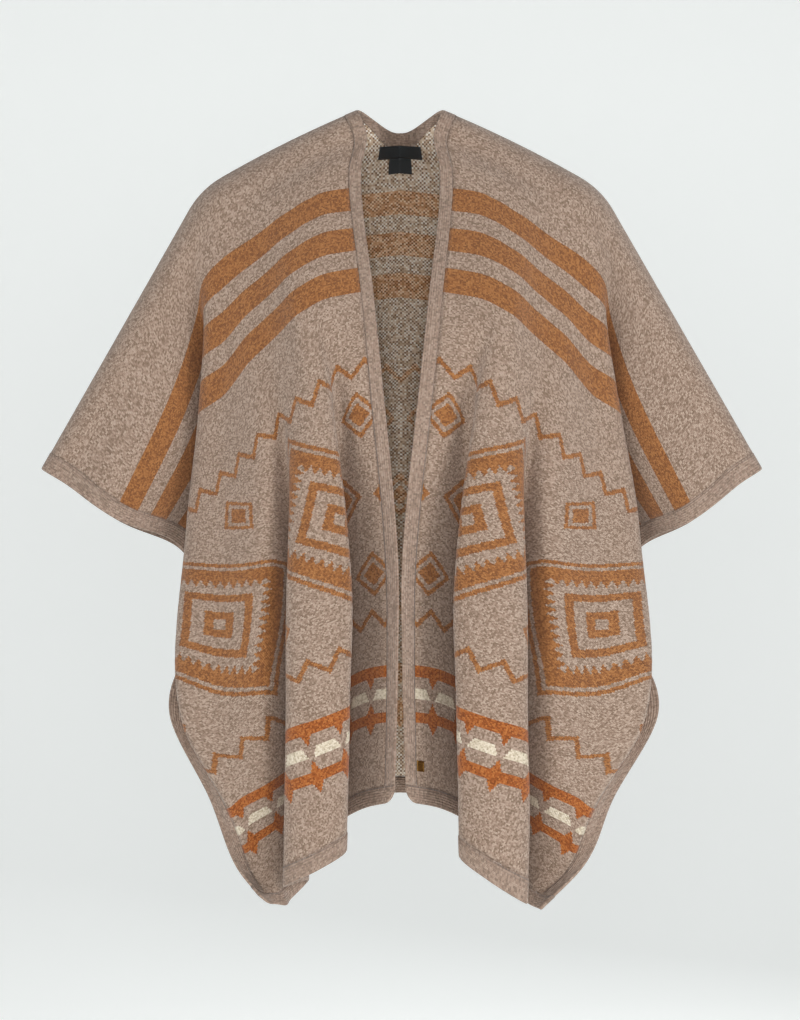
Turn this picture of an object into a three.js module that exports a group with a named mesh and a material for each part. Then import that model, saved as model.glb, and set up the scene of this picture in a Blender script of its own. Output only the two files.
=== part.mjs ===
// A knitted open-front cape (ruana), hanging hollow from the shoulders with the arms held out.
// Millimetres, +Z up, front towards -Y. The origin lies midway between the two points
// where the neck meets the shoulders, just under the fold of the cloth.
import * as THREE from 'three';

// The cut. Lengths down the cloth are counted from the fold over the shoulders.
const cutLength = 750;
const frontWidth = 530;
const halfNeck = 45;
const neckScoop = 35;
const frontBandWidth = 15;
const edgeBandWidth = 20;
const hemBandWidth = 18;
const hemCornerRadius = 15;
const neckBandWidth = 20;
const neckBandEnd = 2;
const panelWall = 2;
const bandWall = 3;
const seamGap = 0.8;

// The general figure under the cloth: the fold line runs down the shoulder, then along the arm.
const shoulderRun = 187;
const shoulderBend = 25;
const slopes = { neck: 22.5, shoulder: 30, arm: 60.7 };
const armForward = 0.105;
const neckRise = 5;
const napeBack = 22;
const napeRise = 1;
const rollRadius = { nape: 26, neck: 20, shoulder: 42, cuff: 20 };
const rollLength = 24;
const rollBlend = 50;

// Each half is a mirror of the other, spread a little wider on the wearer's left.
const sides = {
  right: { mirror: -1, topSpread: 0.995, spread: 1 },
  left: { mirror: 1, topSpread: 1.005, spread: 1.12 },
};
const spreadLength = 300;

// Fold lines of one front, from the centre edge outwards. A row follows one line of cloth
// down from the shoulder and says where it crosses each section:
// [out from the middle, forward, down].
const frontSections = [92, 210, 300, 500, 600, 690, 750];
const frontFolds = {
  centreEdge: [
    [41, 48, 79], [28, 92, 191], [19, 112, 278], [2, 122, 474],
    [2, 122, 570], [4, 121, 661], [6, 120, 722],
  ],
  innerLip: [
    [82, 56, 86], [70, 103, 199], [52, 112, 283], [36, 94, 480],
    [36, 92, 577], [37, 92, 669], [38, 92, 731],
  ],
  innerValley: [
    [94, 58, 92], [80, 106, 202], [63, 107, 288], [67, 67, 492],
    [71, 60, 597], [73, 56, 691], [75, 54, 754],
  ],
  innerReturn: [
    [104, 59, 97], [88, 107, 206], [71, 111, 293], [87, 96, 500],
    [91, 88, 606], [93, 83, 702], [95, 80, 766],
  ],
  innerHook: [
    [114, 60, 104], [96, 109, 211], [74, 123, 300], [50, 134, 503],
    [52, 136, 611], [54, 134, 708], [56, 133, 772],
  ],
  nearCrest: [
    [128, 60, 113], [108, 108, 219], [90, 130, 311], [82, 150, 520],
    [82, 152, 624], [82, 151, 723], [82, 150, 789],
  ],
  outerLip: [
    [145, 57, 126], [123, 96, 234], [113, 118, 328], [116, 137, 536],
    [116, 138, 637], [118, 136, 739], [119, 134, 808],
  ],
  outerValley: [
    [158, 54, 135], [138, 88, 248], [122, 104, 337], [101, 72, 553],
    [98, 60, 664], [96, 60, 750], [97, 62, 810],
  ],
  outerHook: [
    [171, 52, 143], [157, 84, 266], [141, 110, 355], [137, 116, 577],
    [139, 112, 695], [127, 88, 772], [115, 70, 828],
  ],
  sideCrest: [
    [189, 50, 156], [183, 72, 299], [180, 85, 393], [187, 100, 623],
    [168, 104, 712], [143, 94, 785], [119, 90, 832],
  ],
  ridge: [
    [207, 44, 176], [212, 52, 321], [224, 50, 435], [228, 84, 638],
    [180, 99, 722], [150, 93, 792], [128, 98, 830],
  ],
  armpit: [
    [216, 34, 212], [172, -26, 352], [170, -26, 448], [216, 69, 647],
    [185, 93, 724], [155, 93, 794], [133, 104, 829],
  ],
  underArm: [
    [240, 50, 290], [197, 4, 409], [186, -15, 484], [226, 63, 642],
    [189, 88, 724], [160, 95, 794], [137, 109, 827],
  ],
  sideEdge: [
    [303, 74, 427], [234, 14, 459], [207, -8, 517], [242, 61, 634],
    [199, 84, 721], [172, 98, 788], [146, 113, 819],
  ],
};

// The wearer's left front hangs a little lower at the hem.
const leftHem = {
  innerHook: [55, 133, 777],
  nearCrest: [80, 150, 800],
  outerLip: [116, 134, 826],
  outerHook: [111, 68, 823],
  sideCrest: [114, 84, 828],
  ridge: [119, 91, 830],
  armpit: [123, 98, 832],
  underArm: [127, 105, 833],
  sideEdge: [130, 112, 834],
};

// Fold lines of one half of the back, from the centre outwards: [out, backward, down].
const backSections = [92, 210, 400, 580, 750];
const backFolds = {
  centre: [[0, 78, 72], [0, 98, 188], [0, 104, 378], [0, 104, 558], [0, 100, 728]],
  innerCrest: [[55, 72, 80], [62, 112, 196], [60, 132, 385], [62, 140, 565], [62, 142, 735]],
  innerValley: [[92, 66, 96], [96, 80, 212], [92, 66, 400], [95, 58, 578], [94, 60, 748]],
  innerHook: [[118, 60, 110], [122, 98, 226], [108, 112, 412], [109, 114, 590], [105, 118, 759]],
  outerCrest: [[150, 52, 128], [158, 94, 248], [152, 124, 440], [156, 136, 612], [150, 132, 780]],
  outerValley: [[182, 46, 150], [190, 50, 288], [180, 50, 485], [176, 50, 650], [151, 60, 785]],
  ridge: [[210, 38, 180], [214, 62, 330], [220, 76, 545], [206, 78, 690], [176, 78, 793]],
  armpit: [[218, 26, 212], [182, 50, 368], [190, 36, 556], [183, 46, 704], [173, 56, 800]],
  underArm: [[244, 18, 288], [206, 40, 421], [206, 18, 590], [186, 30, 720], [162, 40, 804]],
  sideEdge: [[308, 14, 428], [230, 52, 471], [219, 24, 628], [192, 14, 736], [154, 24, 808]],
};

// Plain labels inside the back neck, and a small metal tag on the wearer's left front.
// The cloth at the nape is gathered, so a label spans more of it than its own width.
const mainLabel = { width: 46, gather: 0.79, below: 13, height: 12, wall: 0.8 };
const careLabel = { width: 26, gather: 0.9, below: 25.3, height: 15, wall: 0.6 };
const tag = { fromEdge: 15.8, width: 10, top: 706, height: 11, wall: 1.2 };
const layGap = 0.7;

// Mesh cells. Pieces that meet share their stops, so that their walls never cross.
const cellsAcross = 40;
const cellsBelow = 14;
const rollStops = [seamGap / 2, 9, 18, 30, 46, 66];
const neckCells = 12;

const { smoothstep, clamp, lerp } = THREE.MathUtils;

const heatherKnit = { color: '#9f887a', roughness: 0.95, metalness: 0 };
const ribTrim = { color: '#8c7464', roughness: 0.95, metalness: 0 };
const labelSatin = { color: '#212426', roughness: 0.6, metalness: 0 };
const agedBrass = { color: '#4a392b', roughness: 0.45, metalness: 0.8 };

// Value at x on a line through [x, value] pairs.
function along(x, pairs) {
  const last = pairs.length - 1;
  let i = 1;
  while (i < last && x > pairs[i][0]) {
    i += 1;
  }
  const [x0, v0] = pairs[i - 1];
  const [x1, v1] = pairs[i];
  return lerp(v0, v1, clamp((x - x0) / (x1 - x0), 0, 1));
}

// The fold line is level at the nape, slopes along the shoulder and falls along the arm.
function slopeAt(s) {
  const degrees = along(s, [
    [-halfNeck, 0],
    [0, slopes.neck],
    [shoulderRun - shoulderBend, slopes.shoulder],
    [shoulderRun + shoulderBend, slopes.arm],
  ]);
  return THREE.MathUtils.degToRad(degrees);
}

// The fold line in steps of 1 mm from the neck point: out, forward, down.
const foldLine = [new THREE.Vector3(halfNeck, 0, -neckRise)];
for (let s = 0; s < frontWidth + 2; s += 1) {
  const forward = armForward * smoothstep(s, shoulderRun, shoulderRun + 2 * shoulderBend);
  const flat = Math.sqrt(1 - forward * forward);
  const step = new THREE.Vector3(Math.cos(slopeAt(s)) * flat, forward, Math.sin(slopeAt(s)) * flat);
  foldLine.push(foldLine[foldLine.length - 1].clone().add(step));
}

// A point of the fold line, s mm out from the neck point. Below 0 it arches over the nape.
function foldPoint(s) {
  if (s < 0) {
    const arch = smoothstep(-s, 0, halfNeck);
    return new THREE.Vector3(halfNeck + s, -napeBack * arch, -neckRise - napeRise * arch);
  }
  const i = Math.floor(s);
  return foldLine[i].clone().lerp(foldLine[i + 1], s - i);
}

// Cloth rolled over the fold line and hanging straight below the roll. Facing is 1 in front, -1 behind.
function rolledPoint(s, t, facing) {
  const radius = along(s, [
    [-halfNeck, rollRadius.nape],
    [0, rollRadius.neck],
    [shoulderRun, rollRadius.shoulder],
    [frontWidth, rollRadius.cuff],
  ]);
  const turn = Math.min(t / radius, Math.PI / 2);
  const fall = radius * (1 - Math.cos(turn)) + Math.max(t - radius * Math.PI / 2, 0);
  const point = foldPoint(s);
  point.x -= fall * Math.sin(slopeAt(s));
  point.y += facing * radius * Math.sin(turn);
  point.z += fall * Math.cos(slopeAt(s));
  return point;
}

function spreadAt(t, { topSpread, spread }) {
  return lerp(topSpread, spread, smoothstep(t, 0, spreadLength));
}

// One quarter of the cape as a surface: s mm out from the neck point, t mm down from the fold.
function quarter({ folds, hem = {}, sections, facing, from, side }) {
  const rows = Object.entries(folds).map(([name, row]) => (
    hem[name] ? [...row.slice(0, -1), hem[name]] : row
  ));
  const reach = [0];
  for (let i = 1; i < rows.length; i += 1) {
    const here = new THREE.Vector3(...rows[i][0]);
    reach.push(reach[i - 1] + here.distanceTo(new THREE.Vector3(...rows[i - 1][0])));
  }
  const knots = [0, rollLength, ...sections];
  const lines = rows.map((row, i) => {
    const s = lerp(from, frontWidth, reach[i] / reach[rows.length - 1]);
    const values = [
      ...rolledPoint(s, 0, facing).toArray(),
      ...rolledPoint(s, rollLength, facing).toArray(),
      ...row.flatMap(([out, fore, down]) => [out, facing * fore, down]),
    ];
    return new THREE.CubicInterpolant(knots, values, 3);
  });
  const curves = new Map();
  const curveAt = (t) => {
    if (!curves.has(t)) {
      const points = lines.map((line) => new THREE.Vector3().fromArray(line.evaluate(t)));
      const curve = new THREE.CatmullRomCurve3(points);
      curve.arcLengthDivisions = 400;
      curves.set(t, curve);
    }
    return curves.get(t);
  };
  return (s, t) => {
    const share = clamp((s - from) / (frontWidth - from), 0, 1);
    const hung = curveAt(t).getPointAt(share);
    const point = rolledPoint(s, t, facing).lerp(hung, smoothstep(t, rollLength, rollLength + rollBlend));
    const out = point.x * spreadAt(t, sides[side]) * sides[side].mirror;
    return new THREE.Vector3(out, -point.y, -point.z);
  };
}

const frontQuarter = (side) => quarter({
  folds: frontFolds,
  hem: side === 'left' ? leftHem : {},
  sections: frontSections,
  facing: 1,
  from: 0,
  side,
});
const backQuarter = (side) => quarter({
  folds: backFolds, sections: backSections, facing: -1, from: -halfNeck, side,
});

const fronts = { right: frontQuarter('right'), left: frontQuarter('left') };
const backs = { right: backQuarter('right'), left: backQuarter('left') };

// The back in one width: s from the centre, below 0 on the wearer's right.
function wholeBack(s, t) {
  const half = s < 0 ? backs.right : backs.left;
  return half(Math.abs(s) - halfNeck, t);
}

// Direction square to the cloth.
function normalAt(surface, s, t) {
  const reach = 5;
  const last = surface === wholeBack ? halfNeck + frontWidth : frontWidth;
  const first = surface === wholeBack ? -last : 0;
  const outward = surface(Math.min(s + reach, last), t).sub(surface(Math.max(s - reach, first), t));
  const downward = surface(s, Math.min(t + reach, cutLength)).sub(surface(s, Math.max(t - reach, 0)));
  return outward.cross(downward).normalize();
}

function enclosedVolume(points, index) {
  let volume = 0;
  for (let i = 0; i < index.length; i += 3) {
    const [a, b, c] = index.slice(i, i + 3).map((k) => points[k]);
    volume += a.clone().cross(b).dot(c) / 6;
  }
  return volume;
}

// A closed wall over a stretch of surface: one column of points for each stop across.
// Each column is a list of distances down the cloth.
function clothPiece(name, surface, { stops, columnAt, wall, lift = 0 }, finish) {
  const faces = [[], []];
  for (const s of stops) {
    for (const t of columnAt(s)) {
      const middle = surface(s, t);
      const normal = normalAt(surface, s, t);
      faces[0].push(middle.clone().addScaledVector(normal, lift + wall / 2));
      faces[1].push(middle.clone().addScaledVector(normal, lift - wall / 2));
    }
  }
  const across = stops.length - 1;
  const down = faces[0].length / stops.length - 1;
  const index = [];
  const quad = (a, b, c, d) => index.push(a, b, c, a, c, d);
  const at = (i, j, face) => face * faces[0].length + i * (down + 1) + j;
  for (let i = 0; i < across; i += 1) {
    for (let j = 0; j < down; j += 1) {
      quad(at(i, j, 0), at(i + 1, j, 0), at(i + 1, j + 1, 0), at(i, j + 1, 0));
      quad(at(i, j, 1), at(i, j + 1, 1), at(i + 1, j + 1, 1), at(i + 1, j, 1));
    }
    quad(at(i, 0, 1), at(i + 1, 0, 1), at(i + 1, 0, 0), at(i, 0, 0));
    quad(at(i + 1, down, 0), at(i + 1, down, 1), at(i, down, 1), at(i, down, 0));
  }
  for (let j = 0; j < down; j += 1) {
    quad(at(0, j, 0), at(0, j + 1, 0), at(0, j + 1, 1), at(0, j, 1));
    quad(at(across, j + 1, 1), at(across, j + 1, 0), at(across, j, 0), at(across, j, 1));
  }
  const points = faces.flat();
  if (enclosedVolume(points, index) < 0) {
    index.reverse();
  }
  const geometry = new THREE.BufferGeometry().setFromPoints(points);
  geometry.setIndex(index);
  geometry.computeVertexNormals();
  const mesh = new THREE.Mesh(geometry, new THREE.MeshStandardMaterial(finish));
  mesh.name = name;
  return mesh;
}

function evenStops(from, to, cells) {
  return Array.from({ length: cells + 1 }, (_, i) => lerp(from, to, i / cells));
}

// The back's neck edge dips below the fold line between the two neck points.
function neckEdge(s) {
  const inward = clamp(Math.abs(s) / halfNeck, 0, 1);
  return neckScoop * (1 - inward * inward);
}

// The neck band narrows where it runs over the shoulder into the front bands.
function neckBandBottom(s) {
  const beyond = Math.max(Math.abs(s) - halfNeck, 0);
  return neckEdge(s) + lerp(neckBandWidth, neckBandEnd, beyond / frontBandWidth);
}

function frontHem(s) {
  const short = hemCornerRadius - Math.min(s, hemCornerRadius);
  return cutLength - hemCornerRadius + Math.sqrt(hemCornerRadius ** 2 - short ** 2);
}

const group = new THREE.Group();
const hemTop = cutLength - hemBandWidth;
const sideBandFrom = frontWidth - edgeBandWidth;
const panelStops = evenStops(frontBandWidth + seamGap, sideBandFrom - seamGap, cellsAcross);
const longColumn = [
  ...rollStops,
  ...evenStops(rollStops[rollStops.length - 1], hemTop - seamGap, cellsBelow).slice(1),
];
const hemColumn = (bottomAt) => (s) => [hemTop, bottomAt(s)];

for (const side of ['right', 'left']) {
  const front = fronts[side];
  const panelWalls = { columnAt: () => longColumn, wall: panelWall };
  const bandWalls = { columnAt: () => longColumn, wall: bandWall };
  const frontBandStops = [0, frontBandWidth];
  const sideBandStops = [sideBandFrom, frontWidth];
  const backBandStops = sideBandStops.map((s) => (s + halfNeck) * sides[side].mirror);
  const hemStops = [0, frontBandWidth / 3, frontBandWidth, ...panelStops, sideBandFrom, frontWidth];
  group.add(clothPiece(`front_${side}`, front, { ...panelWalls, stops: panelStops }, heatherKnit));
  group.add(clothPiece(`front_band_${side}`, front, { ...bandWalls, stops: frontBandStops }, ribTrim));
  const sideBand = { ...bandWalls, stops: sideBandStops };
  const backBand = { ...bandWalls, stops: backBandStops };
  group.add(clothPiece(`front_side_band_${side}`, front, sideBand, ribTrim));
  group.add(clothPiece(`back_side_band_${side}`, wholeBack, backBand, ribTrim));
  group.add(clothPiece(`front_hem_band_${side}`, front, {
    stops: hemStops, columnAt: hemColumn(frontHem), wall: bandWall,
  }, ribTrim));
}

const beyondNeck = [...panelStops].map((s) => s + halfNeck);
const neckStops = evenStops(-halfNeck, halfNeck, neckCells);
const mirrored = (stops) => stops.map((s) => -s).reverse();
const neckReach = halfNeck + frontBandWidth;
const backStops = [...mirrored(beyondNeck), -neckReach, ...neckStops, neckReach, ...beyondNeck];
group.add(clothPiece('back', wholeBack, {
  stops: backStops,
  columnAt: (s) => {
    const beside = Math.abs(s) > neckReach;
    const top = beside ? rollStops[0] : neckBandBottom(s) + seamGap;
    const bottom = hemTop - seamGap;
    return longColumn.map((t) => lerp(top, bottom, (t - rollStops[0]) / (bottom - rollStops[0])));
  },
  wall: panelWall,
}, heatherKnit));
group.add(clothPiece('neck_band', wholeBack, {
  stops: [seamGap - neckReach, ...neckStops, neckReach - seamGap],
  columnAt: (s) => evenStops(neckEdge(s) + rollStops[0], neckBandBottom(s), 2),
  wall: bandWall,
}, ribTrim));
const outerStops = [...panelStops, sideBandFrom, frontWidth].map((s) => s + halfNeck);
group.add(clothPiece('back_hem_band', wholeBack, {
  stops: [...mirrored(outerStops), -neckReach, ...neckStops, neckReach, ...outerStops],
  columnAt: hemColumn(() => cutLength),
  wall: bandWall,
}, ribTrim));

// What lies on the cloth is made from its points, moved clear of the wall under it.
function layOn(name, surface, inside, { from, top, width, height, wall }, wallUnder, finish) {
  const lift = inside * (wallUnder / 2 + layGap + wall / 2);
  group.add(clothPiece(name, surface, {
    stops: evenStops(from, from + width, 6),
    columnAt: () => evenStops(top, top + height, 2),
    wall,
    lift,
  }, finish));
}

const inward = -1;
for (const [name, label, wallUnder] of [
  ['main_label', mainLabel, bandWall],
  ['care_label', careLabel, panelWall],
]) {
  const width = label.width / label.gather;
  const place = { ...label, width, from: -width / 2, top: neckScoop + label.below };
  layOn(name, wholeBack, inward, place, wallUnder, labelSatin);
}
layOn('metal_tag', fronts.left, inward, { ...tag, from: tag.fromEdge }, panelWall, agedBrass);

export default group;
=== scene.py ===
# Knitted open-front cape, hanging hollow from the shoulders with the arms held out.
# Fine walls of knit on the solids' own form, jacquard stripes and motifs, ribbed trim.
import math

import bpy
import numpy as np
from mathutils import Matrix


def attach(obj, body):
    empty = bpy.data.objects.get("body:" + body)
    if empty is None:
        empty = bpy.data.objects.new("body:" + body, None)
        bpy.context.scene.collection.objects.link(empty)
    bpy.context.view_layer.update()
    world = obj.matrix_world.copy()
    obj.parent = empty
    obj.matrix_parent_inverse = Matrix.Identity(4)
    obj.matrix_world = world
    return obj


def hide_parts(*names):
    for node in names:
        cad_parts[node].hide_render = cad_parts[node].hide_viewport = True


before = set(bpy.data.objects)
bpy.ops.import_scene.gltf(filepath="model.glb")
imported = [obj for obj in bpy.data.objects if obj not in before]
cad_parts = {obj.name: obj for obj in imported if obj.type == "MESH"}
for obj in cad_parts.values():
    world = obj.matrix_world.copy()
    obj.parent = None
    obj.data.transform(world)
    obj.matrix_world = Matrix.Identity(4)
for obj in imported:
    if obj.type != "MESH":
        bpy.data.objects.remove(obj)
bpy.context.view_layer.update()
mm = 0.001

# The cut, in mm. Lengths down the cloth are counted from the fold over the shoulders.
cut = {
    "length": 750,
    "frontWidth": 530,
    "halfNeck": 45,
    "neckScoop": 35,
    "frontBand": 15,
    "edgeBand": 20,
    "hemBand": 18,
    "hemCorner": 15,
    "neckBand": 20,
    "neckBandEnd": 2,
    "panelWall": 2.0,
    "bandWall": 3.0,
}

# The general figure under the cloth: a fold line down the shoulder, then along the arm.
figure = {
    "shoulderRun": 187,
    "bend": 25,
    "slopes": {"neck": 22.5, "shoulder": 30, "arm": 60.7},
    "armForward": 0.105,
    "neckRise": 5,
    "napeBack": 22,
    "napeRise": 1,
    "rollAt": [-45, 0, 187, 530],  # along the fold line, with the roll's radius at each
    "rollRadius": [26, 20, 42, 20],
    "rollLength": 24,
    "rollBlend": 50,
    "topSpread": {"right": 0.995, "left": 1.005},
    "spread": {"right": 1.0, "left": 1.12},
    "spreadLength": 300,
}

# Fold lines of one front, from the centre edge outwards, each where it crosses the
# sections (mm down the cloth): (out from the middle, forward, down).
frontSections = [92, 210, 300, 500, 600, 690, 750]
frontFolds = {
    "centreEdge": [
        (41, 48, 79), (28, 92, 191), (19, 112, 278), (2, 122, 474),
        (2, 122, 570), (4, 121, 661), (6, 120, 722),
    ],
    "innerLip": [
        (82, 56, 86), (70, 103, 199), (52, 112, 283), (36, 94, 480),
        (36, 92, 577), (37, 92, 669), (38, 92, 731),
    ],
    "innerValley": [
        (94, 58, 92), (80, 106, 202), (63, 107, 288), (67, 67, 492),
        (71, 60, 597), (73, 56, 691), (75, 54, 754),
    ],
    "innerReturn": [
        (104, 59, 97), (88, 107, 206), (71, 111, 293), (87, 96, 500),
        (91, 88, 606), (93, 83, 702), (95, 80, 766),
    ],
    "innerHook": [
        (114, 60, 104), (96, 109, 211), (74, 123, 300), (50, 134, 503),
        (52, 136, 611), (54, 134, 708), (56, 133, 772),
    ],
    "nearCrest": [
        (128, 60, 113), (108, 108, 219), (90, 130, 311), (82, 150, 520),
        (82, 152, 624), (82, 151, 723), (82, 150, 789),
    ],
    "outerLip": [
        (145, 57, 126), (123, 96, 234), (113, 118, 328), (116, 137, 536),
        (116, 138, 637), (118, 136, 739), (119, 134, 808),
    ],
    "outerValley": [
        (158, 54, 135), (138, 88, 248), (122, 104, 337), (101, 72, 553),
        (98, 60, 664), (96, 60, 750), (97, 62, 810),
    ],
    "outerHook": [
        (171, 52, 143), (157, 84, 266), (141, 110, 355), (137, 116, 577),
        (139, 112, 695), (127, 88, 772), (115, 70, 828),
    ],
    "sideCrest": [
        (189, 50, 156), (183, 72, 299), (180, 85, 393), (187, 100, 623),
        (168, 104, 712), (143, 94, 785), (119, 90, 832),
    ],
    "ridge": [
        (207, 44, 176), (212, 52, 321), (224, 50, 435), (228, 84, 638),
        (180, 99, 722), (150, 93, 792), (128, 98, 830),
    ],
    "armpit": [
        (216, 34, 212), (172, -26, 352), (170, -26, 448), (216, 69, 647),
        (185, 93, 724), (155, 93, 794), (133, 104, 829),
    ],
    "underArm": [
        (240, 50, 290), (197, 4, 409), (186, -15, 484), (226, 63, 642),
        (189, 88, 724), (160, 95, 794), (137, 109, 827),
    ],
    "sideEdge": [
        (303, 74, 427), (234, 14, 459), (207, -8, 517), (242, 61, 634),
        (199, 84, 721), (172, 98, 788), (146, 113, 819),
    ],
}

# The wearer's left front hangs a little lower at the hem.
leftHem = {
    "innerHook": (55, 133, 777),
    "nearCrest": (80, 150, 800),
    "outerLip": (116, 134, 826),
    "outerHook": (111, 68, 823),
    "sideCrest": (114, 84, 828),
    "ridge": (119, 91, 830),
    "armpit": (123, 98, 832),
    "underArm": (127, 105, 833),
    "sideEdge": (130, 112, 834),
}

# Fold lines of one half of the back, from the centre outwards: (out, backward, down).
backSections = [92, 210, 400, 580, 750]
backFolds = {
    "centre": [(0, 78, 72), (0, 98, 188), (0, 104, 378), (0, 104, 558), (0, 100, 728)],
    "innerCrest": [(55, 72, 80), (62, 112, 196), (60, 132, 385), (62, 140, 565), (62, 142, 735)],
    "innerValley": [(92, 66, 96), (96, 80, 212), (92, 66, 400), (95, 58, 578), (94, 60, 748)],
    "innerHook": [(118, 60, 110), (122, 98, 226), (108, 112, 412), (109, 114, 590), (105, 118, 759)],
    "outerCrest": [(150, 52, 128), (158, 94, 248), (152, 124, 440), (156, 136, 612), (150, 132, 780)],
    "outerValley": [(182, 46, 150), (190, 50, 288), (180, 50, 485), (176, 50, 650), (151, 60, 785)],
    "ridge": [(210, 38, 180), (214, 62, 330), (220, 76, 545), (206, 78, 690), (176, 78, 793)],
    "armpit": [(218, 26, 212), (182, 50, 368), (190, 36, 556), (183, 46, 704), (173, 56, 800)],
    "underArm": [(244, 18, 288), (206, 40, 421), (206, 18, 590), (186, 30, 720), (162, 40, 804)],
    "sideEdge": [(308, 14, 428), (230, 52, 471), (219, 24, 628), (192, 14, 736), (154, 24, 808)],
}


def smoothStep(x, low, high):
    share = np.clip((x - low) / (high - low), 0, 1)
    return share * share * (3 - 2 * share)


def mix(a, b, share):
    return a + (b - a) * share


def slopeAt(s):
    # level at the nape, sloping along the shoulder, falling along the arm
    run, bend, slopes = figure["shoulderRun"], figure["bend"], figure["slopes"]
    stops = [-cut["halfNeck"], 0, run - bend, run + bend]
    return np.radians(np.interp(s, stops, [0, slopes["neck"], slopes["shoulder"], slopes["arm"]]))


def makeFoldLine():
    s = np.arange(0, cut["frontWidth"] + 2)
    run = figure["shoulderRun"]
    forward = figure["armForward"] * smoothStep(s, run, run + 2 * figure["bend"])
    flat = np.sqrt(1 - forward**2)
    steps = np.stack([np.cos(slopeAt(s)) * flat, forward, np.sin(slopeAt(s)) * flat], axis=1)
    start = [cut["halfNeck"], 0, -figure["neckRise"]]
    return np.vstack([start, start + np.cumsum(steps, axis=0)])


foldLine = makeFoldLine()


def rolledPoint(s, t, facing):
    # cloth rolled over the fold line and hanging straight below the roll
    s, t = np.broadcast_arrays(np.asarray(s, float), np.asarray(t, float))
    along = np.arange(len(foldLine))
    point = np.stack([np.interp(s, along, foldLine[:, axis]) for axis in range(3)], axis=-1)
    arch = smoothStep(-s, 0, cut["halfNeck"])
    rise = figure["neckRise"] + figure["napeRise"] * arch
    nape = np.stack([cut["halfNeck"] + s, -figure["napeBack"] * arch, -rise], axis=-1)
    point = np.where((s < 0)[..., None], nape, point)
    radius = np.interp(s, figure["rollAt"], figure["rollRadius"])
    turn = np.minimum(t / radius, math.pi / 2)
    fall = radius * (1 - np.cos(turn)) + np.maximum(t - radius * math.pi / 2, 0)
    point[..., 0] -= fall * np.sin(slopeAt(s))
    point[..., 1] += facing * radius * np.sin(turn)
    point[..., 2] += fall * np.cos(slopeAt(s))
    return point


def knotCurve(knots, values, at):
    # cubic through values, with the mean of the neighbouring slopes at each knot
    knots = np.asarray(knots, float)
    slope = np.diff(values, axis=0) / np.diff(knots)[:, None, None]
    tangent = np.concatenate([slope[:1], (slope[1:] + slope[:-1]) / 2, slope[-1:]])
    i = np.clip(np.searchsorted(knots, at, side="right") - 1, 0, len(knots) - 2)
    span = (knots[i + 1] - knots[i])[:, None, None]
    x = (at - knots[i])[:, None, None] / span
    return (
        (2 * x**3 - 3 * x**2 + 1) * values[i]
        + (x**3 - 2 * x**2 + x) * span * tangent[i]
        + (3 * x**2 - 2 * x**3) * values[i + 1]
        + (x**3 - x**2) * span * tangent[i + 1]
    )


def clothCurve(points, shares, perSpan=24):
    # centripetal curve through the fold points, read at even shares of its length
    p = np.vstack([2 * points[0] - points[1], points, 2 * points[-1] - points[-2]])
    gap = np.maximum(np.linalg.norm(np.diff(p, axis=0), axis=1) ** 0.5, 1e-4)[:, None]
    p0, p1, p2, p3 = p[:-3], p[1:-2], p[2:-1], p[3:]
    g0, g1, g2 = gap[:-2], gap[1:-1], gap[2:]
    leaving = ((p1 - p0) / g0 - (p2 - p0) / (g0 + g1) + (p2 - p1) / g1) * g1
    arriving = ((p2 - p1) / g1 - (p3 - p1) / (g1 + g2) + (p3 - p2) / g2) * g1
    x = np.linspace(0, 1, perSpan, endpoint=False)[None, :, None]
    curve = (
        (2 * x**3 - 3 * x**2 + 1) * p1[:, None]
        + (x**3 - 2 * x**2 + x) * leaving[:, None]
        + (3 * x**2 - 2 * x**3) * p2[:, None]
        + (x**3 - x**2) * arriving[:, None]
    )
    curve = np.vstack([curve.reshape(-1, 3), points[-1:]])
    length = np.concatenate([[0], np.cumsum(np.linalg.norm(np.diff(curve, axis=0), axis=1))])
    at = shares * length[-1]
    return np.stack([np.interp(at, length, curve[:, axis]) for axis in range(3)], axis=-1)


def evenStops(start, end, step):
    return np.linspace(start, end, max(1, round(abs(end - start) / step)) + 1)


table = {"across": 2.5, "down": 3.0}  # mm between the read-out points of a quarter


def quarter(folds, sections, facing, start, side, hem=None):
    # one quarter of the cape: s mm out from the neck point, t mm down from the fold
    rows = np.array(list(folds.values()), float)
    for name, point in (hem or {}).items():
        rows[list(folds).index(name), -1] = point
    reach = np.concatenate([[0], np.cumsum(np.linalg.norm(np.diff(rows[:, 0], axis=0), axis=1))])
    rowS = mix(start, cut["frontWidth"], reach / reach[-1])
    rows[..., 1] *= facing
    roll = figure["rollLength"]
    knots = [0, roll, *sections]
    values = np.stack(
        [rolledPoint(rowS, 0, facing), rolledPoint(rowS, roll, facing), *np.swapaxes(rows, 0, 1)]
    )
    sAt = evenStops(start, cut["frontWidth"], table["across"])
    tAt = evenStops(0, cut["length"], table["down"])
    shares = (sAt - start) / (cut["frontWidth"] - start)
    hung = np.stack([clothCurve(line, shares) for line in knotCurve(knots, values, tAt)])
    rolled = rolledPoint(sAt[None, :], tAt[:, None], facing)
    points = mix(rolled, hung, smoothStep(tAt, roll, roll + figure["rollBlend"])[:, None, None])
    top, low = figure["topSpread"][side], figure["spread"][side]
    spread = mix(top, low, smoothStep(tAt, 0, figure["spreadLength"]))
    points[..., 0] *= spread[:, None] * (1 if side == "left" else -1)
    points[..., 1:] *= -1
    return {"points": points, "from": start, "stepS": sAt[1] - sAt[0], "stepT": tAt[1] - tAt[0]}


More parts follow.
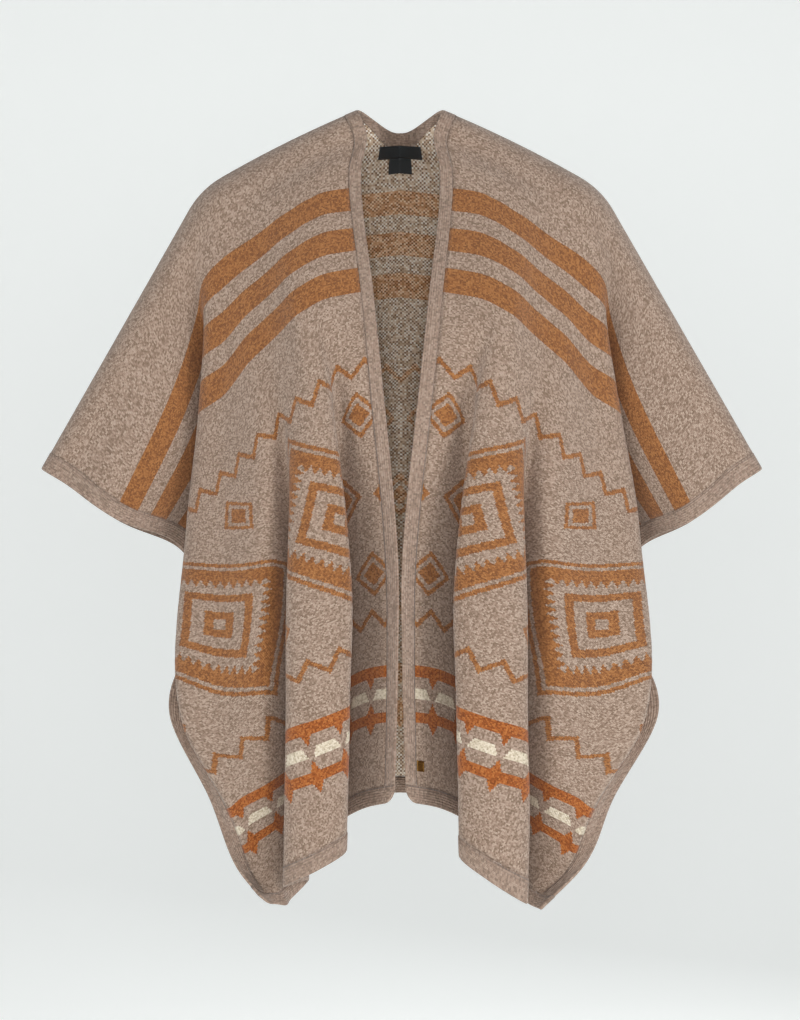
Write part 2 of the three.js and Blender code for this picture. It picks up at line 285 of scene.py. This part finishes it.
def readQuarter(q, s, t):
    across = np.clip((s - q["from"]) / q["stepS"], 0, q["points"].shape[1] - 1.001)
    down = np.clip(t / q["stepT"], 0, q["points"].shape[0] - 1.001)
    i, j = across.astype(int), down.astype(int)
    x, y = (across - i)[..., None], (down - j)[..., None]
    p = q["points"]
    return mix(mix(p[j, i], p[j, i + 1], x), mix(p[j + 1, i], p[j + 1, i + 1], x), y)


fronts, backs = {}, {}
for side in ("right", "left"):
    hem = leftHem if side == "left" else None
    fronts[side] = quarter(frontFolds, frontSections, 1, 0, side, hem)
    backs[side] = quarter(backFolds, backSections, -1, -cut["halfNeck"], side)
print("cloth surfaces ready")


def frontSurface(side):
    return lambda s, t: readQuarter(fronts[side], s, t)


def backSurface(s, t):
    # the back in one width: s from the centre, below 0 on the wearer's right
    out = np.abs(s) - cut["halfNeck"]
    right, left = readQuarter(backs["right"], out, t), readQuarter(backs["left"], out, t)
    return np.where((s < 0)[..., None], right, left)


def neckEdge(s):
    inward = np.clip(np.abs(s) / cut["halfNeck"], 0, 1)
    return cut["neckScoop"] * (1 - inward**2)


def neckBandBottom(s):
    beyond = np.clip((np.abs(s) - cut["halfNeck"]) / cut["frontBand"], 0, 1)
    return neckEdge(s) + mix(cut["neckBand"], cut["neckBandEnd"], beyond)


def frontHem(s):
    corner = cut["hemCorner"]
    short = corner - np.minimum(s, corner)
    return cut["length"] - corner + np.sqrt(corner**2 - short**2)


# A free edge starts to thin at this share of the wall's thickness, and ends nearly closed.
edgeRounding = {"reach": 0.7, "thinning": 0.96}


def wallPiece(
    name, surface, stops, columns, wall, materials,
    lift=0, freeEdges=(), inside=-1, relief=None, uvSign=1,
):
    # A closed wall of cloth. stops are mm across, columns(s) gives the mm down for each stop.
    # Free edges round off.
    s = np.asarray(stops, float)
    t = np.stack([np.asarray(columns(x), float) for x in s])
    s = np.repeat(s[:, None], t.shape[1], axis=1)
    middle = surface(s, t)
    reach = 2.0
    outward = surface(s + reach, t) - surface(s - reach, t)
    downward = surface(s, t + reach) - surface(s, t - reach)
    normal = np.cross(outward, downward)
    normal /= np.linalg.norm(normal, axis=-1, keepdims=True) + 1e-9
    thick = np.full(s.shape, wall)
    roundOff = wall * edgeRounding["reach"]
    edges = {"start": s - s[:1], "end": s[-1:] - s, "top": t - t[:, :1], "bottom": t[:, -1:] - t}
    for edge in freeEdges:
        gone = np.clip(1 - edges[edge] / roundOff, 0, 1)
        thick *= np.sqrt(1 - edgeRounding["thinning"] * gone**2)
    if relief:
        thick *= relief(s, t)
    faces = [middle + normal * (lift + sign * thick / 2)[..., None] for sign in (1, -1)]
    across, down = s.shape
    vertices = np.concatenate([face.reshape(-1, 3) for face in faces]) * mm
    k = np.arange(across * down).reshape(across, down)
    far = k + across * down
    quads = [np.stack([k[:-1, :-1], k[1:, :-1], k[1:, 1:], k[:-1, 1:]], axis=-1).reshape(-1, 4)]
    back = [far[:-1, :-1], far[:-1, 1:], far[1:, 1:], far[1:, :-1]]
    quads.append(np.stack(back, axis=-1).reshape(-1, 4))
    for near, away in ((k[:, 0], far[:, 0]), (far[:, -1], k[:, -1])):
        quads.append(np.stack([away[:-1], away[1:], near[1:], near[:-1]], axis=-1))
    for near, away in ((far[0], k[0]), (k[-1], far[-1])):
        quads.append(np.stack([away[:-1], away[1:], near[1:], near[:-1]], axis=-1))
    counts = [len(block) for block in quads]
    quads = np.concatenate(quads)
    a, b, c = (vertices[quads[:, n]] for n in range(3))
    if np.einsum("ij,ij->", a, np.cross(b, c)) < 0:
        quads = quads[:, ::-1]
    mesh = bpy.data.meshes.new(name)
    mesh.from_pydata(vertices.tolist(), [], quads.tolist())
    uv = np.concatenate([np.stack([s * uvSign, t], axis=-1).reshape(-1, 2)] * 2) * mm
    layer = mesh.uv_layers.new(name="cloth")
    corners = np.empty(len(mesh.loops), int)
    mesh.loops.foreach_get("vertex_index", corners)
    layer.data.foreach_set("uv", uv[corners].ravel())
    for material in materials:
        mesh.materials.append(material)
    if len(materials) > 1:
        # the inner face: the one towards the wearer
        innerBlock = 0 if inside > 0 else 1
        index = np.zeros(len(mesh.polygons), int)
        first = 0 if innerBlock == 0 else counts[0]
        index[first : first + counts[innerBlock]] = 1
        mesh.polygons.foreach_set("material_index", index)
    mesh.shade_smooth()
    piece = bpy.data.objects.new(name, mesh)
    bpy.context.scene.collection.objects.link(piece)
    return piece


def edgeStops(start, end, step, rounded):
    # even stops, closer together beside a rounded edge
    near = np.array([0.35, 0.9, 1.6])
    stops = evenStops(start, end, step)
    if "start" in rounded:
        stops = np.concatenate([stops[:1], start + near * np.sign(end - start), stops[1:]])
    if "end" in rounded:
        stops = np.concatenate([stops[:-1], end - near[::-1] * np.sign(end - start), stops[-1:]])
    return stops


# Colours are sRGB hex; the shader needs linear values.
def linear(hexColour):
    channels = [int(hexColour[n : n + 2], 16) / 255 for n in (1, 3, 5)]
    return [c / 12.92 if c <= 0.04045 else ((c + 0.055) / 1.055) ** 2.4 for c in channels] + [1.0]


def addNode(tree, kind, links=None, **settings):
    # one node: settings name its own properties, links its inputs by name or number
    node = tree.nodes.new(kind)
    for name, value in settings.items():
        setattr(node, name, value)
    for socket, value in (links or {}).items():
        target = node.inputs[socket]
        if isinstance(value, bpy.types.NodeSocket):
            tree.links.new(value, target)
        else:
            target.default_value = value
    return node


def calc(tree, operation, a, b=0.0, c=0.0):
    return addNode(tree, "ShaderNodeMath", {0: a, 1: b, 2: c}, operation=operation).outputs[0]


def between(tree, value, low, high):
    above = calc(tree, "GREATER_THAN", value, low)
    return calc(tree, "MULTIPLY", above, calc(tree, "LESS_THAN", value, high))


def either(tree, *masks):
    total = masks[0]
    for mask in masks[1:]:
        total = calc(tree, "MAXIMUM", total, mask)
    return total


def blendColours(tree, share, first, second):
    node = addNode(tree, "ShaderNodeMix", data_type="RGBA")
    for socket, value in ((0, share), (6, first), (7, second)):
        if isinstance(value, bpy.types.NodeSocket):
            tree.links.new(value, node.inputs[socket])
        else:
            node.inputs[socket].default_value = value
    return node.outputs[2]


def newMaterial(name):
    material = bpy.data.materials.new(name)
    material.use_nodes = True
    tree = material.node_tree
    return material, tree, tree.nodes["Principled BSDF"]


# Jacquard knit: wool-blend yarn, two shades twisted together, so the cloth is flecked at
# stitch size; the pattern's edges step from stitch to stitch.
knit = {
    "stitchWide": 1.8,  # mm; wale spacing
    "stitchHigh": 1.5,  # mm; course spacing
    "flecks": ("#75604f", "#957e6e", "#b49f8f"),
    "rustFlecks": ("#6e4426", "#8d5a31", "#a67243"),
    "deepFlecks": ("#743b15", "#995322", "#b16e37"),
    "creamFlecks": ("#a99a84", "#cbbda6", "#ddd2c0"),
    "stripes": ((92, 118), (137, 163), (182, 210)),
    "streakShare": 0.48,
    "streakWide": 1.9,  # stitches
    "shadePlaces": (0.22, 0.5, 0.80),  # where the three shades sit on the random value
    "bumpHeight": 0.35,  # mm
    "bumpStrength": 0.8,
    "legLean": 2.4,
    "courseShare": 0.35,
    "shine": 0.25,
    "roughness": 0.93,
}

# Each cloth draws its own flecks.
seeds = {"front": 0.0, "reverse": 7.0, "trim": 11.0}

# Hem border, mm down the cloth: two rust bars with triangles on their inner edges, a row
# of cream blocks between them, and points under the lower bar.
border = {
    "bars": ((608, 621), (655.5, 667)),
    "cream": (632, 643.5),
    "pitch": 38,
    "triangle": 10.5,  # height, and half the width at the bar
    "triangleHalf": 5.5,
    "creamEnd": 2.5,  # mm from the tips, and how fast the block's end slants away
    "creamSlant": 0.55,
    "points": 11,
    "pointHalf": 6.5,
}

# Motif band: nested diamonds with a toothed ring, small ones between, a zigzag each side.
motif = {
    "middle": 424,  # mm down the cloth
    "first": 148,  # mm out, first diamond's middle
    "pitch": 236,
    "line": (104, 111),  # rings, from a diamond's middle along its axes
    "ring": (79, 98),
    "toothPitch": 14,
    "toothDeep": 15,
    "innerRing": (40, 53),
    "core": (9, 22),
    "smallDown": 84,
    "small": ((0, 13), (19, 25)),
    "zigzagDown": (121, 128),
    "zigzagPitch": 34,
}


def clothPlace(tree):
    # mm across and down the cloth; across is below 0 on the wearer's right, so the flecks
    # of the two sides differ, and the pattern takes its size only
    place = addNode(tree, "ShaderNodeUVMap", uv_map="cloth").outputs["UV"]
    split = addNode(tree, "ShaderNodeSeparateXYZ", {0: place})
    signed = calc(tree, "MULTIPLY", split.outputs[0], 1000)
    v = calc(tree, "MULTIPLY", split.outputs[1], 1000)
    return signed, calc(tree, "ABSOLUTE", signed), v


def blendValues(tree, share, first, second):
    rest = calc(tree, "MULTIPLY", first, 1 - share)
    return calc(tree, "MULTIPLY_ADD", second, share, rest)


def steps(tree, value, size):
    return calc(tree, "MULTIPLY", calc(tree, "FLOOR", calc(tree, "DIVIDE", value, size)), size)


def fleck(tree, u, v, wide, high, seed):
    # one random value for each stitch, softened by a wider streaky noise along the courses
    stitch = addNode(
        tree,
        "ShaderNodeCombineXYZ",
        {0: steps(tree, u, wide), 1: steps(tree, v, high), 2: seed},
    ).outputs[0]
    white = addNode(tree, "ShaderNodeTexWhiteNoise", {"Vector": stitch}, noise_dimensions="3D")
    single = white.outputs["Value"]
    across = calc(tree, "DIVIDE", u, wide * knit["streakWide"])
    down = calc(tree, "DIVIDE", v, high)
    streakPlace = addNode(tree, "ShaderNodeCombineXYZ", {0: across, 1: down, 2: seed + 3.0}).outputs[0]
    soft = {"Vector": streakPlace, "Scale": 1.0, "Detail": 3.0, "Roughness": 0.7}
    streak = addNode(tree, "ShaderNodeTexNoise", soft).outputs[0]
    return blendValues(tree, knit["streakShare"], single, streak)


def yarnColour(tree, value, shades):
    ramp = addNode(tree, "ShaderNodeValToRGB", {0: value})
    low, high = ramp.color_ramp.elements
    lowAt, middleAt, highAt = knit["shadePlaces"]
    low.position, low.color = lowAt, linear(shades[0])
    high.position, high.color = highAt, linear(shades[2])
    middle = ramp.color_ramp.elements.new(middleAt)
    middle.color = linear(shades[1])
    return ramp.outputs[0]


def stripeMask(tree, v):
    return either(tree, *[between(tree, v, low, high) for low, high in knit["stripes"]])


def triangles(tree, out, fromBase, height, half):
    # pointed shapes that stand on a bar: fromBase is mm from the bar, out mm from a tip
    left = calc(tree, "SUBTRACT", 1.0, calc(tree, "DIVIDE", fromBase, height))
    inside = calc(tree, "LESS_THAN", out, calc(tree, "MULTIPLY", left, half))
    # they reach a stitch into the bar, so no row of ground shows between
    return calc(tree, "MULTIPLY", calc(tree, "GREATER_THAN", fromBase, -knit["stitchHigh"]), inside)


def borderMasks(tree, u, v):
    (_, upper), (lower, bottom) = border["bars"]
    creamTop, creamBottom = border["cream"]
    out = calc(tree, "PINGPONG", u, border["pitch"] / 2)
    hanging = calc(tree, "SUBTRACT", v, upper)
    standing = calc(tree, "SUBTRACT", lower, v)
    size = border["triangle"], border["triangleHalf"]
    rust = either(
        tree,
        *[between(tree, v, low, high) for low, high in border["bars"]],
        triangles(tree, out, hanging, *size),
        triangles(tree, out, standing, *size),
        triangles(tree, out, calc(tree, "SUBTRACT", v, bottom), border["points"], border["pointHalf"]),
    )
    above = calc(tree, "SUBTRACT", creamBottom, v)
    end = calc(tree, "MULTIPLY_ADD", above, border["creamSlant"], border["creamEnd"])
    clear = calc(tree, "GREATER_THAN", out, end)
    return rust, calc(tree, "MULTIPLY", between(tree, v, creamTop, creamBottom), clear)


def motifMask(tree, u, v):
    half = motif["pitch"] / 2
    across = calc(tree, "PINGPONG", calc(tree, "SUBTRACT", u, motif["first"]), half)
    down = calc(tree, "ABSOLUTE", calc(tree, "SUBTRACT", v, motif["middle"]))
    distance = calc(tree, "ADD", across, down)
    rings = [between(tree, distance, *motif[name]) for name in ("line", "innerRing", "core")]
    along = calc(tree, "PINGPONG", calc(tree, "SUBTRACT", across, down), motif["toothPitch"] / 2)
    tooth = calc(tree, "MULTIPLY", along, 2 * motif["toothDeep"] / motif["toothPitch"])
    ringIn = calc(tree, "SUBTRACT", motif["ring"][0], tooth)
    toothed = calc(
        tree, "MULTIPLY", calc(tree, "GREATER_THAN", distance, ringIn),
        calc(tree, "LESS_THAN", distance, motif["ring"][1]),
    )
    smallOut = calc(tree, "SUBTRACT", half, across)
    smallDown = calc(tree, "ABSOLUTE", calc(tree, "SUBTRACT", down, motif["smallDown"]))
    smallDistance = calc(tree, "ADD", smallOut, smallDown)
    smalls = [between(tree, smallDistance, *reach) for reach in motif["small"]]
    wave = calc(tree, "PINGPONG", u, motif["zigzagPitch"] / 2)
    zigzag = between(tree, calc(tree, "SUBTRACT", down, wave), *motif["zigzagDown"])
    return either(tree, *rings, toothed, *smalls, zigzag)


def knitBump(tree, shader, u, v, height):
    # each stitch is a small V: two legs that lean together, row on row
    wale = calc(tree, "MULTIPLY", u, 2 * math.pi / knit["stitchWide"])
    leg = calc(tree, "ABSOLUTE", calc(tree, "SINE", calc(tree, "MULTIPLY", wale, 0.5)))
    course = calc(tree, "MULTIPLY", v, 2 * math.pi / knit["stitchHigh"])
    lean = calc(tree, "ADD", course, calc(tree, "MULTIPLY", leg, knit["legLean"]))
    ridge = calc(tree, "ADD", calc(tree, "MULTIPLY", calc(tree, "SINE", lean), knit["courseShare"]), leg)
    settings = {"Height": ridge, "Distance": height * mm, "Strength": knit["bumpStrength"]}
    bump = addNode(tree, "ShaderNodeBump", settings)
    tree.links.new(bump.outputs[0], shader.inputs["Normal"])


def jacquardKnit():
    material, tree, shader = newMaterial("wool blend jacquard knit")
    signed, u, v = clothPlace(tree)
    stitchU = steps(tree, u, knit["stitchWide"])
    stitchV = steps(tree, v, knit["stitchHigh"])
    value = fleck(tree, signed, v, knit["stitchWide"], knit["stitchHigh"], seeds["front"])
    colour = yarnColour(tree, value, knit["flecks"])
    rustMask, creamMask = borderMasks(tree, stitchU, stitchV)
    warm = either(tree, stripeMask(tree, stitchV), motifMask(tree, stitchU, stitchV))
    for mask, shades in ((warm, "rustFlecks"), (creamMask, "creamFlecks"), (rustMask, "deepFlecks")):
        colour = blendColours(tree, mask, colour, yarnColour(tree, value, knit[shades]))
    tree.links.new(colour, shader.inputs["Base Color"])
    shader.inputs["Roughness"].default_value = knit["roughness"]
    shader.inputs["Specular IOR Level"].default_value = knit["shine"]
    shader.inputs["Sheen Weight"].default_value = 0.25
    shader.inputs["Sheen Roughness"].default_value = 0.5
    knitBump(tree, shader, u, v, knit["bumpHeight"])
    return material


# Back of the jacquard: the other yarns show as a bird's-eye of small dots, so the design is
# faint and the cloth looks loose. The pale yarn of the bird's-eye makes it paler, and its shades
# are raised further as painted light: they stand in for the light that comes through the loose
# knit onto the inside.
reverse = {
    # painted light: these shades, the near-white ones most, are paler than the yarn to stand in for
    # light through the knit
    "flecks": ("#8a6c54", "#d3ba9f", "#f6eee3"),
    "floats": ("#8a5d3c", "#cf9c72", "#f1d6b8"),
    "dotShare": 0.34,
    "stitchScale": 1.3,  # the floats loosen the stitches
    "bumpScale": 1.4,
}


def jacquardReverse():
    material, tree, shader = newMaterial("wool blend jacquard reverse")
    signed, u, v = clothPlace(tree)
    wide, high = (knit[size] * reverse["stitchScale"] for size in ("stitchWide", "stitchHigh"))
    row = calc(tree, "FLOOR", calc(tree, "DIVIDE", v, high))
    column = calc(tree, "FLOOR", calc(tree, "DIVIDE", signed, wide))
    diagonal = calc(tree, "PINGPONG", calc(tree, "ADD", row, column), 1.0)
    value = fleck(tree, signed, v, wide, high, seeds["reverse"])
    value = calc(tree, "MULTIPLY_ADD", diagonal, reverse["dotShare"], value)
    value = calc(tree, "SUBTRACT", value, reverse["dotShare"] / 2)
    stitchU = steps(tree, u, knit["stitchWide"])
    stitchV = steps(tree, v, knit["stitchHigh"])
    rustMask, creamMask = borderMasks(tree, stitchU, stitchV)
    warm = either(tree, stripeMask(tree, stitchV), motifMask(tree, stitchU, stitchV), rustMask)
    # the pale shades paint in the light that comes through the knit onto the inside
    ground = yarnColour(tree, value, reverse["flecks"])
    colour = blendColours(tree, warm, ground, yarnColour(tree, value, reverse["floats"]))
    tree.links.new(colour, shader.inputs["Base Color"])
    shader.inputs["Roughness"].default_value = knit["roughness"]
    shader.inputs["Specular IOR Level"].default_value = knit["shine"]
    knitBump(tree, shader, u, v, knit["bumpHeight"] * reverse["bumpScale"])
    return material


# Ribbed trim: the same yarn knitted tighter, in fine ribs along the band, so it looks paler
# and smoother than the panels.
trim = {
    "flecks": ("#7d6a5c", "#967f70", "#ab9687"),
    "ribSpacing": 2.6,  # mm
    "ribHeight": 0.5,
    "ribStrength": 0.7,
    "stitch": 2.0,
    "roughness": 0.9,
}


def ribTrim(name, acrossAxis):
    material, tree, shader = newMaterial(name)
    signed, u, v = clothPlace(tree)
    value = fleck(tree, signed, v, trim["stitch"], trim["stitch"], seeds["trim"])
    tree.links.new(yarnColour(tree, value, trim["flecks"]), shader.inputs["Base Color"])
    shader.inputs["Roughness"].default_value = trim["roughness"]
    shader.inputs["Specular IOR Level"].default_value = knit["shine"]
    shader.inputs["Sheen Weight"].default_value = 0.2
    ribPlace = u if acrossAxis == "u" else v
    rib = calc(tree, "SINE", calc(tree, "MULTIPLY", ribPlace, 2 * math.pi / trim["ribSpacing"]))
    height = trim["ribHeight"] * mm
    settings = {"Height": rib, "Distance": height, "Strength": trim["ribStrength"]}
    bump = addNode(tree, "ShaderNodeBump", settings)
    tree.links.new(bump.outputs[0], shader.inputs["Normal"])
    return material


# Woven polyester satin: a tight float weave, near black, with a soft shine along the threads.
satin = {"colour": "#1c1f21", "lit": "#33373a", "thread": 0.35, "roughness": 0.45}


def labelSatin():
    material, tree, shader = newMaterial("black polyester satin")
    signed, _, v = clothPlace(tree)
    threads = addNode(tree, "ShaderNodeCombineXYZ", {0: signed, 1: v}).outputs[0]
    noise = addNode(tree, "ShaderNodeTexNoise", {"Vector": threads, "Scale": 1 / satin["thread"]})
    shade = blendColours(tree, noise.outputs[0], linear(satin["colour"]), linear(satin["lit"]))
    tree.links.new(shade, shader.inputs["Base Color"])
    shader.inputs["Roughness"].default_value = satin["roughness"]
    return material


# Cast brass, darkened with age: brown-black where nothing rubs it, warm in patches.
brass = {"dark": "#3d2c1c", "bright": "#a5793f", "roughness": 0.38}


def agedBrass():
    material, tree, shader = newMaterial("aged brass")
    place = addNode(tree, "ShaderNodeTexCoord").outputs["Object"]
    cloud = addNode(tree, "ShaderNodeTexNoise", {"Vector": place, "Scale": 900.0, "Detail": 3.0})
    shade = blendColours(tree, cloud.outputs[0], linear(brass["dark"]), linear(brass["bright"]))
    tree.links.new(shade, shader.inputs["Base Color"])
    shader.inputs["Metallic"].default_value = 1.0
    shader.inputs["Roughness"].default_value = brass["roughness"]
    return material


knitOut = jacquardKnit()
knitIn = jacquardReverse()
trimAlong = ribTrim("wool blend rib trim", "u")
trimAcross = ribTrim("wool blend rib hem", "v")
satinBlack = labelSatin()
print("materials ready")

meshing = {"panel": 5.0, "band": 3, "neckRows": 11, "seamGap": 0.15}  # mm, and rows of points


def place(piece, node, slot):
    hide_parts(node)
    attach(piece, "root")
    return piece


sideFrom = cut["frontWidth"] - cut["edgeBand"]
hemTop = cut["length"] - cut["hemBand"]
gap = meshing["seamGap"]
longColumn = evenStops(gap, hemTop - gap, meshing["panel"])
frontStops = evenStops(cut["frontBand"] + gap, sideFrom - gap, meshing["panel"])
hemShares = np.array([0, 6, 12, 15, 16.5, 17.4, 18]) / 18  # closer together towards the edge
cornerStops = [0, 0.3, 1, 2.2, 4, 6.5, 10]  # mm round the front hem's corner


def hemColumns(bottomAt):
    return lambda s: mix(hemTop, float(bottomAt(s)), hemShares)


panels, bands = {}, {}
for side in ("right", "left"):
    front = frontSurface(side)
    sign = 1 if side == "left" else -1
    panel = wallPiece(
        f"front_panel_{side}", front, frontStops, lambda s: longColumn,
        cut["panelWall"], [knitOut, knitIn], inside=sign, uvSign=sign,
    )
    panels[side] = place(panel, f"front_{side}", "knit")
    bandStops = edgeStops(0, cut["frontBand"], meshing["band"], ["start"])
    frontBand = wallPiece(
        f"front_trim_{side}", front, bandStops, lambda s: longColumn,
        cut["bandWall"], [trimAlong], freeEdges=["start"], uvSign=sign,
    )
    sideBand = wallPiece(
        f"front_side_trim_{side}", front, edgeStops(sideFrom, cut["frontWidth"], 4, ["end"]),
        lambda s: longColumn, cut["bandWall"], [trimAlong], freeEdges=["end"], uvSign=sign,
    )
    hemStops = np.concatenate(
        [cornerStops, evenStops(cut["hemCorner"], cut["frontWidth"], meshing["panel"])]
    )
    hemBand = wallPiece(
        f"front_hem_trim_{side}", front, hemStops, hemColumns(frontHem),
        cut["bandWall"], [trimAcross], freeEdges=["bottom"], uvSign=sign,
    )
    backBand = wallPiece(
        f"back_side_trim_{side}", backSurface,
        sign * (edgeStops(sideFrom, cut["frontWidth"], 4, ["end"]) + cut["halfNeck"]),
        lambda s: longColumn, cut["bandWall"], [trimAlong], freeEdges=["end"],
    )
    bands[side] = [
        place(frontBand, f"front_band_{side}", "rib_trim"),
        place(sideBand, f"front_side_band_{side}", "rib_trim"),
        place(hemBand, f"front_hem_band_{side}", "rib_trim"),
    ]
    bands[f"back {side}"] = place(backBand, f"back_side_band_{side}", "rib_trim")
print("fronts ready")

halfBack = cut["halfNeck"] + sideFrom - gap
neckReach = cut["halfNeck"] + cut["frontBand"]


def backColumn(s):
    top = gap if abs(s) > neckReach else float(neckBandBottom(s)) + gap
    return evenStops(top, hemTop - gap, (hemTop - gap - top) / (len(longColumn) - 1))


nearNeck = evenStops(-neckReach, neckReach, meshing["band"])
beyondNeck = evenStops(neckReach + 0.2, halfBack, meshing["panel"])
backStops = np.concatenate([-beyondNeck[::-1], nearNeck, beyondNeck])
backPanel = wallPiece(
    "back_panel", backSurface, backStops, backColumn, cut["panelWall"], [knitOut, knitIn], inside=-1
)
place(backPanel, "back", "knit")


def neckColumn(s):
    top, bottom = float(neckEdge(s)) + gap, float(neckBandBottom(s))
    if abs(s) < cut["halfNeck"]:
        return edgeStops(top, bottom, meshing["band"], ["start"])
    return np.linspace(top, bottom, meshing["neckRows"])


neckTrim = wallPiece(
    "neck_trim", backSurface, evenStops(-neckReach + gap, neckReach - gap, 2.5), neckColumn,
    cut["bandWall"], [trimAcross], freeEdges=["top"],
)
place(neckTrim, "neck_band", "rib_trim")
backReach = cut["halfNeck"] + cut["frontWidth"]
backHem = wallPiece(
    "back_hem_trim", backSurface, evenStops(-backReach, backReach, meshing["panel"]),
    hemColumns(lambda s: cut["length"]), cut["bandWall"], [trimAcross], freeEdges=["bottom"],
)
place(backHem, "back_hem_band", "rib_trim")
print("back ready")

labels = {
    "main": {"width": 46, "gather": 0.79, "below": 13, "height": 12, "wall": 0.8},
    "care": {"width": 26, "gather": 0.9, "below": 25.3, "height": 15, "wall": 0.6},
    "layGap": 0.5,
}


def layLabel(name, node, label, wallUnder):
    # the cloth at the nape is gathered, so a label spans more of it than its own width
    top = cut["neckScoop"] + label["below"]
    half = label["width"] / label["gather"] / 2
    piece = wallPiece(
        name, backSurface, evenStops(-half, half, 2),
        lambda s: evenStops(top, top + label["height"], 2), label["wall"], [satinBlack],
        lift=-(wallUnder / 2 + labels["layGap"] + label["wall"] / 2),
    )
    return place(piece, node, "label_satin")


mainLabel = layLabel("neck_label", "main_label", labels["main"], cut["bandWall"])
careLabel = layLabel("fibre_label", "care_label", labels["care"], cut["panelWall"])

# A small plain tag: a raised rim round a bare sunken field.
tag = {
    "fromEdge": 15.8,
    "width": 10,
    "top": 706,
    "height": 11,
    "wall": 1.2,
    "layGap": 0.3,
    "rim": 1.3,
    "field": 0.4,
}


def metalTag():
    slope = [0, 0.2, 0.5, tag["rim"], tag["rim"] + 0.35, tag["rim"] + 0.7]

    def stopsFor(start, length):
        return start + np.concatenate([slope, length - np.array(slope[::-1])])

    def relief(s, t):
        fromSide = np.minimum(s - tag["fromEdge"], tag["fromEdge"] + tag["width"] - s)
        fromEnd = np.minimum(t - tag["top"], tag["top"] + tag["height"] - t)
        inward = np.minimum(fromSide, fromEnd)
        bevel = mix(0.6, 1.0, smoothStep(inward, 0, 0.45))
        return bevel * mix(1.0, tag["field"], smoothStep(inward, tag["rim"], tag["rim"] + 0.4))

    down = stopsFor(tag["top"], tag["height"])
    piece = wallPiece(
        "brass_tag", frontSurface("left"), stopsFor(tag["fromEdge"], tag["width"]), lambda s: down,
        tag["wall"], [agedBrass()],
        lift=-(cut["panelWall"] / 2 + tag["layGap"] + tag["wall"] / 2), relief=relief,
    )
    return place(piece, "metal_tag", "aged_brass")


brassTag = metalTag()
print("labels and tag ready")

# Pale studio: a floor that curves up into a backdrop, far below and behind.
studio = {
    "floorHeight": -1.45,
    "halfWidth": 9.0,
    "behind": 5.0,
    "before": 7.0,
    "curve": 2.0,
    "height": 7.0,
    "colour": "#eceeed",
    "world": "#eef0f0",
    "worldStrength": 0.4,
    "glow": 0.3,  # the paper is lit evenly from round it, which lamps alone don't give
}


def makeBackdrop():
    profile = [(-studio["before"], studio["floorHeight"])]
    turnY = studio["behind"] - studio["curve"]
    turnZ = studio["floorHeight"] + studio["curve"]
    for step in range(13):
        angle = step / 12 * math.pi / 2
        along, up = math.sin(angle), -math.cos(angle)
        profile.append((turnY + studio["curve"] * along, turnZ + studio["curve"] * up))
    profile.append((studio["behind"], studio["height"]))
    vertices = [(x, y, z) for y, z in profile for x in (-studio["halfWidth"], studio["halfWidth"])]
    faces = [(2 * n, 2 * n + 1, 2 * n + 3, 2 * n + 2) for n in range(len(profile) - 1)]
    mesh = bpy.data.meshes.new("backdrop")
    mesh.from_pydata(vertices, [], faces)
    mesh.shade_smooth()
    material, tree, shader = newMaterial("matt backdrop paper")
    shader.inputs["Base Color"].default_value = linear(studio["colour"])
    shader.inputs["Roughness"].default_value = 1.0
    shader.inputs["Specular IOR Level"].default_value = 0.0
    shader.inputs["Emission Color"].default_value = linear(studio["colour"])
    shader.inputs["Emission Strength"].default_value = studio["glow"]
    mesh.materials.append(material)
    backdrop = bpy.data.objects.new("backdrop", mesh)
    bpy.context.scene.collection.objects.link(backdrop)


makeBackdrop()

world = bpy.data.worlds.new("studio")
world.use_nodes = True
world.node_tree.nodes["Background"].inputs[0].default_value = linear(studio["world"])
world.node_tree.nodes["Background"].inputs[1].default_value = studio["worldStrength"]
bpy.context.scene.world = world

lamps = {
    "key": {"at": (2.7, -2.3, 0.15), "size": 1.5, "power": 58},
    "fill": {"at": (-2.7, -2.3, 0.05), "size": 1.5, "power": 34},
    "front": {"at": (0, -3.9, -0.3), "size": 0.5, "power": 44},
    "back": {"at": (0.8, 3.0, 0.6), "size": 1.8, "power": 40},
}


def aim(thing, target):
    direction = np.array(target) - np.array(thing.location)
    flat = math.hypot(direction[0], direction[1])
    tilt, turn = math.atan2(direction[2], flat), math.atan2(-direction[0], direction[1])
    thing.rotation_euler = (math.pi / 2 + tilt, 0, turn)


for name, lamp in lamps.items():
    light = bpy.data.lights.new(name, "AREA")
    light.shape, light.size, light.energy = "DISK", lamp["size"], lamp["power"]
    holder = bpy.data.objects.new(name, light)
    holder.location = lamp["at"]
    holder.visible_camera = False
    bpy.context.scene.collection.objects.link(holder)
    aim(holder, (0, 0, -0.42))

# Camera level with the middle of the cape, with a long lens.
view = {"distance": 4.2, "height": -0.42, "lens": 139.2, "sensor": 36}
cameraData = bpy.data.cameras.new("camera")
cameraData.sensor_width, cameraData.lens = view["sensor"], view["lens"]
camera = bpy.data.objects.new("camera", cameraData)
camera.location = (0, -view["distance"], view["height"])
camera.rotation_euler = (math.pi / 2, 0, 0)
bpy.context.scene.collection.objects.link(camera)
bpy.context.scene.camera = camera
bpy.context.scene.view_settings.view_transform = "Standard"
print("studio ready")
